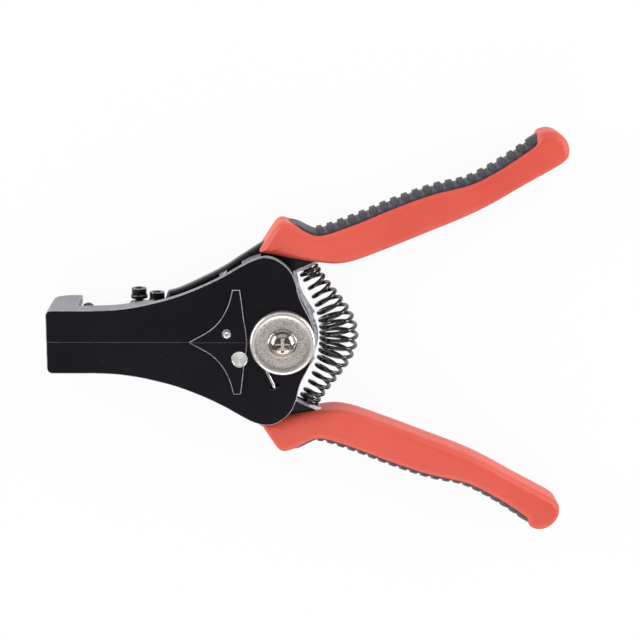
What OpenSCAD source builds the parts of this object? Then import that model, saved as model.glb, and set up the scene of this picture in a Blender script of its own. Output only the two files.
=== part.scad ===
// Automatic wire stripper with parallel jaws, lying on its back with the handles open.
// The pivot's axis is Z, the jaws point to -X and the upper handle lies on the +Y side.

/* [Head] */
// Reach of the jaws' tips in front of the pivot
head_reach = 80; // [78:0.5:84]
// Height of the jaws' outer edge above the seam
jaw_rise = 11; // [10.5:0.1:11.5]
// Height of the head's lobe above the seam
lobe_rise = 29.3; // [29:0.1:30.5]
// Distance from the pivot to the edge of the waist behind it
waist = 11.3; // [11:0.1:11.8]
// Depth of the head from its front face to its back
head_depth = 22; // [21.5:0.1:23]
// Thickness of the front plates
plate_t = 3; // [2.5:0.1:3.2]
// Thickness of the front plates at the jaw
front_jaw_t = 7.8; // [7.4:0.1:8]
// Length of the thick jaw
jaw_length = 34; // [33:0.5:35]
// Length of the hook at the tip
hook_length = 10; // [8:0.5:11]
// Distance that the hook reaches behind the pivot nut's face
hook_drop = 2; // [1:0.1:2.5]
// Thickness of the hook's walls
hook_wall = 3; // [2:0.1:4]
// Height of the raised arrowhead
emboss_t = 0.5; // [0.3:0.1:0.8]
// Clearance from the seam to each half
seam_gap = 0.1; // [0.05:0.01:0.2]

/* [Levers] */
// Thickness of the lever plates
lever_t = 4; // [3.6:0.1:4.2]
// Radius of the levers' hubs
hub_r = 12; // [11.5:0.1:12]
// Distance from the pivot to the pins of the back jaws
hinge_reach = 15.6; // [15.6:0.1:16]
// Radius of those pins
hinge_pin_r = 1.5; // [1.2:0.1:1.6]
// Angle by which the upper handle closes
squeeze_angle = 22; // [16:1:22]
// Angle by which the back jaws stand open
mouth_angle = 7; // [6:0.1:7]

/* [Handles] */
// Reach of the handles behind the pivot
handle_reach = 96.2; // [92:0.2:104]
// Height of the upper handle's end above the seam
handle_rise = 70.5; // [69.5:0.1:71]
// Thickness of the grips
grip_t = 15; // [13:0.5:16]
// Angle by which the grips lean back from the levers' plane
grip_tilt = 3; // [2:0.1:3.2]
// Radius of the grips' long edges
grip_round = 2.6; // [1.5:0.1:2.8]
// Thickness of the pads up to the root of their ribs
pad_t = 0.6; // [0.4:0.1:1]
// Height of the ribs
rib_rise = 1.2; // [0.8:0.1:1.4]
// Number of ribs
rib_count = 21; // [15:1:24]

/* [Pivot] */
// Radius of the sleeve that the levers turn on
sleeve_r = 4; // [3.6:0.1:4.2]
// Radius of the pivot screw's shank
screw_r = 2.5; // [2:0.1:2.6]
// Radius of the spring cover
cover_r = 11.1; // [10.8:0.1:11.4]
// Radius of the pivot screw's head
pan_r = 4.95; // [4.5:0.05:5.5]
// Height of the pivot screw's head
pan_t = 2.9; // [2.5:0.1:3.2]
// Wire of the small spring under the cover
leg_wire = 0.9; // [0.7:0.1:1]

/* [Return spring] */
// Wire of the return spring
wire_d = 1.4; // [1.2:0.05:1.45]
// Number of curls
curl_count = 16; // [12:1:16]
// Radius of the curls at the ends, at the wire's middle
coil_end_r = 3; // [2.8:0.05:3.2]
// Radius of the curls halfway, at the wire's middle
coil_mid_r = 6.05; // [5:0.05:6.2]
// Distance from the pivot to the spring's middle
spring_reach = 19; // [18.8:0.1:19.4]

/* [Hidden] */
$fn = 64;

// Cuts run this far past the faces that they open
over = 1;
// Clearance of a pressed pin, of a turning one and between parts that pass each other
press_gap = 0.02;
run_gap = 0.05;
pass_gap = 0.2;

// Levels of the front plates, from the back of the head
plate_back = head_depth - plate_t;
jaw_face = head_depth - front_jaw_t;
jaw_end = jaw_length - head_reach;
hook_end = hook_length - head_reach;
jaw_ramp = 3;
jaw_corner = 1.8;
hook_corner = 7;

// Levels of the levers, and the lap where the two hubs share one thickness
lever_forward = 0.5;
lever_z = (head_depth - lever_t) / 2 + lever_forward;
lever_top = lever_z + lever_t;
lever_mid = lever_z + lever_t / 2;
lap_r = hub_r + pass_gap;
lap_gap = 0.1;
wedge_angle = squeeze_angle / 2 + 1.2;

// Outlines as shares of the sizes that they follow. The flank rises from jaw to lobe.
flank_share = [
    [0.794, 0], [0.713, 0.016], [0.634, 0.06], [0.555, 0.131], [0.45, 0.257],
    [0.331, 0.464], [0.237, 0.672], [0.144, 0.907], [0.076, 1]
];
shoulder_share = [
    [-0.15, 0.966], [0.212, 0.85], [0.398, 0.696], [0.469, 0.573],
    [0.575, 0.457], [0.779, 0.304], [0.938, 0.16]
];
lever_flank_share = [
    [0.495, 0.251], [0.439, 0.316], [0.338, 0.52], [0.246, 0.73],
    [0.191, 0.891], [0.138, 1.038]
];
lever_waist_share = [[0.496, 0.597], [0.619, 0.478], [0.841, 0.307], [0.973, 0.167]];
arrow_left_share = [
    [1, 0], [0.88, 0.116], [0.776, 0.227], [0.7, 0.348],
    [0.644, 0.475], [0.593, 0.641], [0.558, 0.807], [0.533, 1]
];
arrow_right_share = [[0.451, 1], [0.432, 0.746], [0.413, 0.459], [0.391, 0.221], [0.379, 0]];
arrow_reach = 31.7;
arrow_rise = 18.1;

// Handle outlines as shares of the handle's reach and rise
grip_front_share = [[-0.087, 0.424], [-0.038, 0.53], [-0.02, 0.566], [0, 0.576]];
grip_outer_share = [
    [0.02, 0.567], [0.053, 0.552], [0.09, 0.526], [0.129, 0.511], [0.211, 0.546],
    [0.293, 0.589], [0.375, 0.636], [0.465, 0.682], [0.548, 0.718], [0.64, 0.745],
    [0.715, 0.791], [0.801, 0.862], [0.884, 0.942]
];
grip_tip_share = [
    [0.892, 0.983], [0.924, 1], [0.96, 0.99], [0.993, 0.95],
    [1.003, 0.898], [0.993, 0.856], [0.955, 0.82]
];
grip_inner_share = [
    [0.832, 0.727], [0.738, 0.651], [0.64, 0.585], [0.519, 0.519], [0.437, 0.473],
    [0.311, 0.406], [0.25, 0.377], [0.198, 0.363], [0.14, 0.367], [0, 0.4]
];
tang_outer_share = [
    [-0.026, 0.505], [0.063, 0.485], [0.125, 0.463], [0.209, 0.479], [0.293, 0.519],
    [0.376, 0.566], [0.506, 0.63]
];
tang_inner_share = [
    [0.522, 0.591], [0.376, 0.502], [0.293, 0.455], [0.209, 0.423], [0.14, 0.417]
];

// The seats of the return spring, on the tangs' undersides
seat_inner_share = [0.049, 0.313];
seat_outer_share = [0.139, 0.369];
seat_inner = in_handle(seat_inner_share);
seat_outer = in_handle(seat_outer_share);
seat_mid_share = 0.4;
seat_mid = seat_inner + seat_mid_share * (seat_outer - seat_inner);
seat_along = unit(seat_outer - seat_inner);
seat_normal = [seat_along.y, -seat_along.x];

// The back jaws, drawn closed and then swung open about their pins
hinge_x = -hinge_reach;
hinge_drop = 2.7;
hinge_z = lever_z - hinge_drop;
lug_half = 3;
lug_t = 2.4;
lug_drop = 3.2;
lug_floor = hinge_z - lug_drop;
inner_lug_y = 1;
outer_lug_y = 22.4;
arm_gap = 0.3;
knuckle_gap = 0.7;
arm_tip = hook_end + arm_gap;
arm_rise = 7.8;
clamp_rise = 10;
arm_margin = 2.2;
arm_top = lever_z - pass_gap;
knuckle_rise = 1.8;
knuckle_drop = 2.4;
arm_jaw_gap = 1.9;
arm_jaw_top = jaw_face - arm_jaw_gap;
arm_root_t = 7.4;
arm_tip_t = 5.2;
arm_ramp = 1;

// The arms' tails: the upper one crosses the seam over a tongue of the lower one
tail_x = -6.6;
tail_start = -11.6;
tail_drop = 2.8;
tail_t = 3.1;
tongue_t = 1.3;
tongue_gap = 0.3;
tail_top = lever_z - tail_drop;
tail_floor = tail_top - tail_t;
upper_tail_floor = tail_top - tongue_t;
tongue_reach = 2.5;
lower_tongue_reach = 3;
tail_shoulder = 14;
tail_end_rise = 10;

// The cam under the lower lever's hub, and its follower in the upper arm's tail
cam_r = 9;
cam_half = 1.4;
cam_from = 118;
cam_to = 160;
follower_r = 1.2;
follower_angle = 150;
cam_gap = 0.3;
cam_t = 0.6;
cam_level = lever_z - cam_t;
follower_at = [cam_r * cos(follower_angle), cam_r * sin(follower_angle)];
cam_drop = (hinge_reach + follower_at.x) * sin(mouth_angle);
cam_chord = 2 * cam_r * sin(squeeze_angle / 2);
cam_slope = atan(cam_drop / cam_chord);
cam_heading = follower_angle - squeeze_angle / 2 - 90;

// Inserts in the jaws
insert_margin = 0.8;
insert_from = arm_tip + insert_margin;
insert_to = jaw_end - insert_margin;
insert_stand = 0.9;
insert_depth = 4.6;
blade_y = 1.5;
blade_t = 2.5;
gripper_y = 1;
gripper_t = 5.2;
notch_radii = [0.4, 0.6, 0.8, 1.1, 1.6];
groove_r = 0.35;
groove_count = 6;
closed_gap = 0.2;
arm_insert_depth = 3.4;
arm_insert_top = jaw_face - insert_stand - closed_gap;
arm_insert_floor = arm_insert_top - arm_insert_depth;

// Clamp screws of the inserts, counted from the jaw's back end
clamp_drop = 4.9;
clamp_z = arm_jaw_top - clamp_drop;
clamp_r = 1.5;
clamp_head_r = 2.6;
clamp_head_t = 2.3;
clamp_nut_r = 2.9;
clamp_nut_t = 1.2;
clamp_socket_r = 1.5;
clamp_depth = 6;
clamp_ramp = 2;
clamp_lift = 1.2;
clamp_inset = 4;
clamp_pitch = 6.3;
clamp_places = [
    [jaw_end - clamp_inset, clamp_rise + clamp_lift],
    [jaw_end - clamp_inset + clamp_pitch, clamp_rise]
];
dome_drop = 2.6;
dome_z = arm_jaw_top - dome_drop;
dome_r = 2.2;
dome_x = arm_tip + dome_r;
dome_rise = 1.7;
dome_shank_r = 1.2;
dome_depth = 1.4;

// Pins that fix the front plates to the levers
small_pin_at = [-18.9, 3];
small_pin_r = 1.6;
large_pin_at = [-14.6, -5.8];
large_pin_r = 2.8;
large_pin_stand = 0.8;
pin_depth = 3;
pin_rim = 0.5;
boss_at = [-34, 8];
boss_r = 3;
web_t = 2.2;

// Pivot stack
hub_opening_r = 7;
shoulder_r = 6.5;
cover_gap = 0.2;
cover_t = 1.3;
cover_rim = 1.1;
coil_r = 9.2;
cover_floor = head_depth + cover_gap;
leg_gap = 0.15;
cover_seat = head_depth + leg_wire + 2 * leg_gap;
cover_top = cover_seat + cover_t;
nut_flange_r = 8;
nut_flange_t = 1.3;
nut_body_r = 5.5;
nut_hole_r = 0.8;
washer_r = 6.2;
washer_t = 1.2;
washer_z = lever_z - pass_gap - washer_t;
screw_end = 3;
thread_gap = 0.02;
cross_w = 1.1;
cross_reach = 2.4;
cross_depth = 1.7;

// The leg of the small spring leaves its coil along this line
leg_angle = 205.3;
leg_length = 13;
leg_coil_angle = 330;
leg_coil_steps = 24;
leg_sides = 8;
leg_hole_depth = 2;
leg_hole_r = 0.75;
leg_hole_length = 2.4;

// Route of the return spring's middle line, from the lower seat to the upper one
coil_stand = 2.1;
spring_end = seat_mid + coil_stand * seat_normal;
spring_bend = 10.5;
coil_lean_angle = 29;
coil_lean_reach = 16;
belly_share = 2.8;
rings_per_curl = 8;
wire_sides = 6;
seat_gap = 0.1;
peg_r = 1.6;
peg_stand = 2.6;
peg_depth = 2;

function in_handle(p) = [p.x * handle_reach, p.y * handle_rise];
function in_flank(p) = [-p.x * head_reach, jaw_rise + p.y * (lobe_rise - jaw_rise)];
function in_waist(p) = [p.x * waist, p.y * lobe_rise];
function in_arrow(p) = [-p.x * arrow_reach, p.y * arrow_rise];
function unit(v) = v / norm(v);
function reversed(p) = [for (i = [len(p) - 1 : -1 : 0]) p[i]];
function arc(c, r, a0, a1, n = 8) =
    [for (i = [0 : n]) c + r * [cos(a0 + (a1 - a0) * i / n), sin(a0 + (a1 - a0) * i / n)]];

// A smooth open curve through the points, with n steps between neighbours
function spline(p, n = 3) = concat(
    [for (i = [0 : len(p) - 2], k = [0 : n - 1])
        spline_at(p[max(i - 1, 0)], p[i], p[i + 1], p[min(i + 2, len(p) - 1)], k / n)],
    [p[len(p) - 1]]
);
function spline_at(a, b, c, d, t) =
    (2 * b + (c - a) * t + (2 * a - 5 * b + 4 * c - d) * t * t
        + (3 * b - a - 3 * c + d) * t * t * t) / 2;

// A closed outline, drawn clockwise, moved inwards by d at every corner
function inset(p, d) = [for (i = [0 : len(p) - 1])
    let (n = len(p),
        u = unit(p[i] - p[(i + n - 1) % n]),
        v = unit(p[(i + 1) % n] - p[i]),
        nu = [u.y, -u.x],
        nv = [v.y, -v.x])
    p[i] + d * (nu + nv) / (1 + nu * nv)];

module slab(points, z0, z1) {
    translate([0, 0, z0])
        linear_extrude(z1 - z0)
            polygon(points);
}

// A shape drawn in X and Z, drawn out along Y
module cross_prism(points, y0, y1) {
    translate([0, y1, 0])
        rotate([90, 0, 0])
            linear_extrude(y1 - y0)
                polygon(points);
}

module box(low, high) {
    translate(low)
        cube(high - low);
}

module rod_z(at, r, z0, z1) {
    translate([at.x, at.y, z0])
        cylinder(r = r, h = z1 - z0);
}

module rod_y(x, z, r, y0, y1) {
    translate([x, y0, z])
        rotate([-90, 0, 0])
            cylinder(r = r, h = y1 - y0);
}

// Swings what is drawn closed back to its open place at rest
module swung_open() {
    translate([hinge_x, 0, hinge_z])
        rotate([0, -mouth_angle, 0])
            translate([-hinge_x, 0, -hinge_z])
                children();
}

module on_lower_side() {
    mirror([0, 1, 0])
        children();
}

// Outline of a front plate's half, from the tip over the lobe to the waist
plate_outline = concat(
    [[-head_reach, seam_gap]],
    arc([jaw_corner - head_reach, jaw_rise - jaw_corner], jaw_corner, 180, 90, 4),
    spline(concat([for (p = flank_share) in_flank(p)], [for (p = shoulder_share) in_waist(p)])),
    [waist * [cos(wedge_angle), sin(wedge_angle)], [0, seam_gap]]
);

// The casting's outline seen from above: plate, thick jaw and hook
casting_profile = concat(
    [[waist + over, head_depth], [waist + over, plate_back], [jaw_end + jaw_ramp, plate_back],
        [jaw_end, jaw_face], [hook_end, jaw_face], [hook_end, -hook_drop]],
    arc([hook_corner - head_reach, hook_corner - hook_drop], hook_corner, 270, 180),
    [[-head_reach, head_depth]]
);

// A web under the plate's edge, between two points of the flank
module web(from, to) {
    edge = [for (p = spline([for (q = flank_share) in_flank(q)])) if (p.x > from && p.x < to) p];
    slab(
        concat([for (p = edge) p - [0, press_gap]], [for (p = reversed(edge)) p - [0, web_t]]),
        lever_top, plate_back + press_gap
    );
}

module front_casting(insert_y, insert_w) {
    difference() {
        union() {
            intersection() {
                slab(plate_outline, -hook_drop, head_depth);
                cross_prism(casting_profile, 0, lobe_rise + over);
            }
            slab(arrowhead(), head_depth - press_gap, head_depth + emboss_t);
            web(hinge_x - 2 * lug_half, hinge_x - lug_half / 2);
            web(hinge_x + lug_half / 2, in_flank(flank_share[8]).x);
            rod_z(boss_at, boss_r, lever_top, plate_back + press_gap);
        }
        box([hook_wall - head_reach, -over, -hook_drop - over],
            [hook_end + over, jaw_rise - hook_wall, jaw_face]);
        rod_z([0, 0], hub_opening_r, plate_back - over, head_depth + over);
        box([insert_from - press_gap, insert_y - press_gap, jaw_face - over],
            [insert_to + press_gap, insert_y + insert_w + press_gap,
                jaw_face - insert_stand + insert_depth + press_gap]);
    }
}

function arrowhead() = concat(
    spline([for (p = arrow_left_share) in_arrow(p) + [0, seam_gap]]),
    spline([for (p = arrow_right_share) in_arrow(p) + [0, seam_gap]])
);

module upper_front_plate() {
    color("#1d1c20")
        difference() {
            front_casting(blade_y, blade_t);
            rod_z(small_pin_at, small_pin_r + pass_gap, plate_back - over, head_depth + over);
        }
}

module lower_front_plate() {
    color("#1d1c20")
        difference() {
            on_lower_side()
                front_casting(gripper_y, gripper_t);
            rod_z(large_pin_at, large_pin_r + press_gap, plate_back - over, head_depth + over);
            slab(leg_hole, head_depth - leg_hole_depth, head_depth + over);
        }
}

// Outline of a lever: head, tang inside the grip, spring seat and waist
lever_outline = concat(
    [[in_flank(lever_flank_share[0]).x, seam_gap]],
    spline([for (p = lever_flank_share) in_flank(p)]),
    spline([for (p = tang_outer_share) in_handle(p)]),
    spline([for (p = tang_inner_share) in_handle(p)]),
    [seat_outer, seat_inner],
    [for (p = lever_waist_share) in_waist(p)],
    [[0, seam_gap]]
);

module lever(hub_from, hub_to, cut_from, cut_to) {
    difference() {
        union() {
            difference() {
                slab(lever_outline, lever_z, lever_top);
                rod_z([0, 0], lap_r, cut_from, cut_to);
            }
            rod_z([0, 0], hub_r, hub_from, hub_to);
            lug(inner_lug_y);
            lug(outer_lug_y - lug_t);
        }
        rod_z([0, 0], sleeve_r + run_gap, lever_z - over, lever_top + over);
        rod_y(hinge_x, hinge_z, hinge_pin_r + press_gap, 0, outer_lug_y + over);
        translate([seat_mid.x, seat_mid.y, lever_mid])
            rotate([90, 0, atan2(seat_along.y, seat_along.x)])
                translate([0, 0, -peg_depth])
                    cylinder(r = peg_r + press_gap, h = peg_depth + over);
    }
}

module lug(y) {
    box([hinge_x - lug_half, y, lug_floor], [hinge_x + lug_half, y + lug_t, lever_z + over]);
}

module upper_lever() {
    color("#232226")
        difference() {
            lever(lever_mid + lap_gap, lever_top, lever_z - over, lever_mid + lap_gap);
            rod_z(small_pin_at, small_pin_r + press_gap, lever_top - pin_depth, lever_top + over);
        }
}

module lower_lever() {
    color("#232226")
        difference() {
            on_lower_side()
                lever(lever_z, lever_mid - lap_gap, lever_mid - lap_gap, lever_top + over);
            rod_z(large_pin_at, large_pin_r + press_gap, lever_top - pin_depth, lever_top + over);
        }
}

// Outline of a back jaw and its arm, closed, without the tail
arm_step = 0.6;
arm_step_x = clamp_places[1].x + clamp_nut_r + arm_step;
arm_step_share = [-arm_step_x / head_reach, lookup(-arm_step_x / head_reach, flank_share)];
arm_outline = concat(
    [[arm_tip, arm_gap], [arm_tip, arm_rise],
        [clamp_places[0].x - clamp_nut_r - clamp_ramp, arm_rise],
        [clamp_places[0].x - clamp_nut_r, clamp_rise],
        [clamp_places[1].x + clamp_nut_r, clamp_rise],
        in_flank(arm_step_share) - [0, arm_margin]],
    [for (p = flank_share)
        if (in_flank(p).x > arm_step_x && in_flank(p).x < hinge_x - lug_half)
            in_flank(p) - [0, arm_margin]],
    [[hinge_x - lug_half - knuckle_gap, outer_lug_y - lug_t - arm_gap],
        [hinge_x + lug_half + arm_gap, outer_lug_y - lug_t - arm_gap],
        [hinge_x + lug_half + arm_gap, inner_lug_y + lug_t + arm_gap],
        [hinge_x - lug_half - knuckle_gap, inner_lug_y + lug_t + arm_gap],
        [hinge_x - lug_half - knuckle_gap, arm_gap]]
);

arm_profile = [
    [arm_tip, arm_jaw_top - arm_tip_t], [arm_tip, arm_jaw_top], [jaw_end, arm_jaw_top],
    [jaw_end + arm_ramp, arm_top], [hinge_x - arm_gap, arm_top],
    [hinge_x + lug_half + arm_gap, hinge_z + knuckle_rise],
    [hinge_x + lug_half + arm_gap, hinge_z - knuckle_drop],
    [hinge_x - 2 * lug_half, hinge_z - knuckle_drop], [jaw_end, arm_jaw_top - arm_root_t]
];

// The tail behind the pin, down to the given height above the seam
module tail(reach, z0, z1) {
    slab([
        [hinge_x + lug_half - arm_gap, inner_lug_y + lug_t + arm_gap],
        [hinge_x + lug_half - arm_gap, tail_shoulder],
        [tail_start, tail_shoulder],
        [tail_x, tail_end_rise],
        [tail_x, reach],
        [tail_start, reach],
        [tail_start, inner_lug_y + lug_t + arm_gap]
    ], z0, z1);
}

module closed_arm(insert_y, insert_w) {
    difference() {
        union() {
            intersection() {
                slab(arm_outline, 0, head_depth);
                cross_prism(arm_profile, 0, lobe_rise + over);
            }
            children();
        }
        rod_y(hinge_x, hinge_z, hinge_pin_r + run_gap, 0, outer_lug_y + over);
        for (p = clamp_places)
            rod_y(p.x, clamp_z, clamp_r + press_gap, p.y - clamp_depth, p.y + over);
        rod_y(dome_x, dome_z, dome_shank_r + press_gap, arm_rise - dome_depth, arm_rise + over);
        box([insert_from - press_gap, insert_y - press_gap, arm_insert_floor - press_gap],
            [insert_to + press_gap, insert_y + insert_w + press_gap, arm_jaw_top + over]);
    }
}

module upper_back_jaw() {
    color("#2a292e")
        swung_open()
            difference() {
                closed_arm(blade_y, blade_t)
                    tail(-tongue_reach, upper_tail_floor, tail_top);
                rod_z(follower_at, follower_r + press_gap, upper_tail_floor - over, tail_top + over);
            }
}

module lower_back_jaw() {
    color("#2a292e")
        on_lower_side()
            swung_open()
                closed_arm(gripper_y, gripper_t) {
                    tail(lower_tongue_reach, tail_floor, tail_top);
                    tail(-lower_tongue_reach, tail_floor, upper_tail_floor - tongue_gap);
                }
}

// A blade with one notch for each wire, from the smallest at the tip
module blade(z0, z1, edge) {
    pitch = (insert_to - insert_from) / len(notch_radii);
    difference() {
        box([insert_from, blade_y, z0], [insert_to, blade_y + blade_t, z1]);
        for (i = [0 : len(notch_radii) - 1])
            rod_y(insert_from + (i + 0.5) * pitch, edge, notch_radii[i],
                blade_y - over, blade_y + blade_t + over);
    }
}

module upper_front_blade() {
    color("#8d8c90")
        blade(jaw_face - insert_stand, jaw_face - insert_stand + insert_depth,
            jaw_face - insert_stand);
}

module upper_back_blade() {
    color("#8d8c90")
        swung_open()
            blade(arm_insert_floor, arm_insert_top, arm_insert_top);
}

// A gripping insert with grooves along X, across the wire
module gripper(z0, z1, edge) {
    pitch = gripper_t / groove_count;
    difference() {
        box([insert_from, gripper_y, z0], [insert_to, gripper_y + gripper_t, z1]);
        for (i = [0 : groove_count - 1])
            translate([insert_from - over, gripper_y + (i + 0.5) * pitch, edge])
                rotate([0, 90, 0])
                    cylinder(r = groove_r, h = insert_to - insert_from + 2 * over);
    }
}

module lower_front_gripper() {
    color("#7b7a7e")
        on_lower_side()
            gripper(jaw_face - insert_stand, jaw_face - insert_stand + insert_depth,
                jaw_face - insert_stand);
}

module lower_back_gripper() {
    color("#7b7a7e")
        on_lower_side()
            swung_open()
                gripper(arm_insert_floor, arm_insert_top, arm_insert_top);
}

module hinge_pin() {
    rod_y(hinge_x, hinge_z, hinge_pin_r, inner_lug_y, outer_lug_y);
}

module upper_hinge_pin() {
    color("silver")
        hinge_pin();
}

module lower_hinge_pin() {
    color("silver")
        on_lower_side()
            hinge_pin();
}

// A hex-socket screw whose head sits on its lock nut
module socket_screw(p) {
    head = p.y + clamp_nut_t;
    difference() {
        union() {
            rod_y(p.x, clamp_z, clamp_r, p.y - clamp_depth, head + clamp_head_t / 2);
            rod_y(p.x, clamp_z, clamp_head_r, head, head + clamp_head_t);
        }
        translate([p.x, head + clamp_head_t / 2, clamp_z])
            rotate([-90, 0, 0])
                cylinder(r = clamp_socket_r, h = clamp_head_t, $fn = 6);
    }
}

module lock_nut(p) {
    difference() {
        rod_y(p.x, clamp_z, clamp_nut_r, p.y, p.y + clamp_nut_t);
        rod_y(p.x, clamp_z, clamp_r + press_gap, p.y - over, p.y + clamp_nut_t + over);
    }
}

module upper_socket_screws() {
    color("#1a191c")
        swung_open()
            for (p = clamp_places)
                socket_screw(p);
}

module lower_socket_screws() {
    color("#1a191c")
        on_lower_side()
            swung_open()
                for (p = clamp_places)
                    socket_screw(p);
}

module upper_lock_nuts() {
    color("#1a191c")
        swung_open()
            for (p = clamp_places)
                lock_nut(p);
}

module lower_lock_nuts() {
    color("#1a191c")
        on_lower_side()
            swung_open()
                for (p = clamp_places)
                    lock_nut(p);
}

// A domed screw beside the hook, which holds the insert
module dome_screw() {
    ball_r = (dome_r * dome_r + dome_rise * dome_rise) / (2 * dome_rise);
    union() {
        rod_y(dome_x, dome_z, dome_shank_r, arm_rise - dome_depth, arm_rise + dome_rise / 2);
        intersection() {
            translate([dome_x, arm_rise + dome_rise - ball_r, dome_z])
                sphere(r = ball_r);
            rod_y(dome_x, dome_z, 2 * dome_r, arm_rise, arm_rise + 2 * dome_rise);
        }
    }
}

module upper_blade_screw() {
    color("#1a191c")
        swung_open()
            dome_screw();
}

module lower_gripper_screw() {
    color("#1a191c")
        on_lower_side()
            swung_open()
                dome_screw();
}

module small_pin() {
    pin_top = head_depth + emboss_t;
    color("#d8d6d6")
        union() {
            rod_z(small_pin_at, small_pin_r, lever_top - pin_depth, pin_top - small_pin_r / 2);
            translate([small_pin_at.x, small_pin_at.y, pin_top - small_pin_r / 2])
                intersection() {
                    sphere(r = small_pin_r);
                    cylinder(r = 2 * small_pin_r, h = 2 * small_pin_r, center = true);
                }
        }
}

module large_pin() {
    pin_top = head_depth + large_pin_stand;
    color("#c4c2c2")
        difference() {
            rod_z(large_pin_at, large_pin_r, lever_top - pin_depth, pin_top);
            rod_z(large_pin_at, large_pin_r - pin_rim, pin_top - pin_rim / 5, pin_top + over);
        }
}

// Domed pan head with a cross recess
module pivot_screw() {
    ball_r = (pan_r * pan_r + pan_t * pan_t) / (2 * pan_t);
    color("#d6d3cf")
        difference() {
            union() {
                rod_z([0, 0], screw_r, screw_end, cover_top + pan_t / 2);
                intersection() {
                    translate([0, 0, cover_top + pan_t - ball_r])
                        sphere(r = ball_r);
                    rod_z([0, 0], pan_r, cover_top, cover_top + 2 * pan_t);
                }
            }
            for (turn = [0, 90])
                rotate([0, 0, turn])
                    box([-cross_reach, -cross_w / 2, cover_top + pan_t - cross_depth],
                        [cross_reach, cross_w / 2, cover_top + pan_t + over]);
        }
}

module pivot_sleeve() {
    color("silver")
        difference() {
            rod_z([0, 0], sleeve_r, washer_z, cover_seat);
            rod_z([0, 0], screw_r + thread_gap, washer_z - over, cover_seat + over);
        }
}

module front_spacer() {
    color("gray")
        difference() {
            rod_z([0, 0], shoulder_r, lever_top + lap_gap, head_depth);
            rod_z([0, 0], sleeve_r + press_gap, lever_top, head_depth + over);
        }
}

module back_washer() {
    color("silver")
        difference() {
            rod_z([0, 0], washer_r, washer_z, washer_z + washer_t);
            rod_z([0, 0], sleeve_r + press_gap, washer_z - over, lever_z + over);
        }
}

// A closed round nut with two holes for a pin spanner
module pivot_nut() {
    color("#c9c5bf")
        difference() {
            union() {
                rod_z([0, 0], nut_flange_r, 0, nut_flange_t);
                rod_z([0, 0], nut_body_r, nut_flange_t / 2, washer_z);
            }
            rod_z([0, 0], screw_r + thread_gap, screw_end - thread_gap, washer_z + over);
            for (side = [-1, 1])
                rod_z([side * nut_body_r, 0], nut_hole_r, -over, nut_flange_t / 2);
        }
}

// A shallow cup with a rounded rim and a notch for the spring's leg
module spring_cover() {
    color("#b3aba4")
        difference() {
            rotate_extrude()
                polygon(concat(
                    [[screw_r + thread_gap, cover_seat], [screw_r + thread_gap, cover_top]],
                    arc([cover_r - cover_rim, cover_top - cover_rim], cover_rim, 90, 0),
                    [[cover_r, cover_floor], [cover_r - cover_rim, cover_floor],
                        [cover_r - cover_rim, cover_seat]]
                ));
            rotate([0, 0, leg_angle])
                box([coil_r - leg_wire, 0, cover_floor - over], [coil_r + leg_wire, cover_r, cover_seat]);
        }
}

// The small spring: a hidden coil on the front plates and a leg into the lower one
leg_side = [cos(leg_angle), sin(leg_angle)];
leg_way = [-leg_side.y, leg_side.x];
leg_tip = coil_r * leg_side + leg_length * leg_way;
leg_z = head_depth + leg_wire / 2 + leg_gap;
leg_end_z = head_depth - leg_hole_depth + leg_gap;
leg_hole = concat(
    arc(leg_tip + leg_hole_length / 2 * leg_side, leg_hole_r, leg_angle - 90, leg_angle + 90),
    arc(leg_tip - leg_hole_length / 2 * leg_side, leg_hole_r, leg_angle + 90, leg_angle + 270)
);
leg_route = concat(
    [for (p = arc([0, 0], coil_r, leg_angle - leg_coil_angle, leg_angle, leg_coil_steps))
        [p.x, p.y, leg_z]],
    [[leg_tip.x, leg_tip.y, leg_z], [leg_tip.x, leg_tip.y, leg_end_z]]
);
leg_outs = [for (i = [0 : len(leg_route) - 1])
    i < len(leg_route) - 1 ? [0, 0, 1] : [leg_way.x, leg_way.y, 0]];

module torsion_spring() {
    color("#a7a5a6")
        tube_along(leg_route, leg_outs, leg_wire, leg_sides);
}

// The ramp under the lower hub that presses the upper arm's tail down
module closing_cam() {
    color("#98979b")
        difference() {
            intersection() {
                rod_z([0, 0], cam_r + cam_half, cam_level - over, lever_z);
                slab([[0, 0], 2 * cam_r * [cos(cam_from), sin(cam_from)],
                    2 * cam_r * [cos(cam_to), sin(cam_to)]], 0, head_depth);
            }
            rod_z([0, 0], cam_r - cam_half, 0, head_depth);
            translate([follower_at.x, follower_at.y, cam_level])
                rotate([0, cam_slope, cam_heading])
                    box([-cam_r, -cam_r, -cam_r], [cam_r, cam_r, 0]);
        }
}

module cam_follower() {
    ball_z = cam_level - cam_drop - cam_gap - follower_r;
    color("silver")
        swung_open()
            union() {
                rod_z(follower_at, follower_r, upper_tail_floor, ball_z);
                translate([follower_at.x, follower_at.y, ball_z])
                    sphere(r = follower_r);
            }
}

module spring_peg() {
    translate([seat_mid.x, seat_mid.y, lever_mid])
        rotate([90, 0, atan2(seat_along.y, seat_along.x)])
            translate([0, 0, -peg_depth])
                cylinder(r = peg_r, h = peg_depth + peg_stand);
}

module upper_spring_peg() {
    color("#3a393d")
        spring_peg();
}

module lower_spring_peg() {
    color("#3a393d")
        on_lower_side()
            spring_peg();
}

// The return spring's middle line bulges away from the pivot
spring_arch = (spring_reach - spring_end.x) / (sqrt(1 + pow(spring_end.y / spring_bend, 2)) - 1);
function middle_at(y) =
    [spring_reach - spring_arch * (sqrt(1 + pow(y / spring_bend, 2)) - 1), y, lever_mid];

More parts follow.
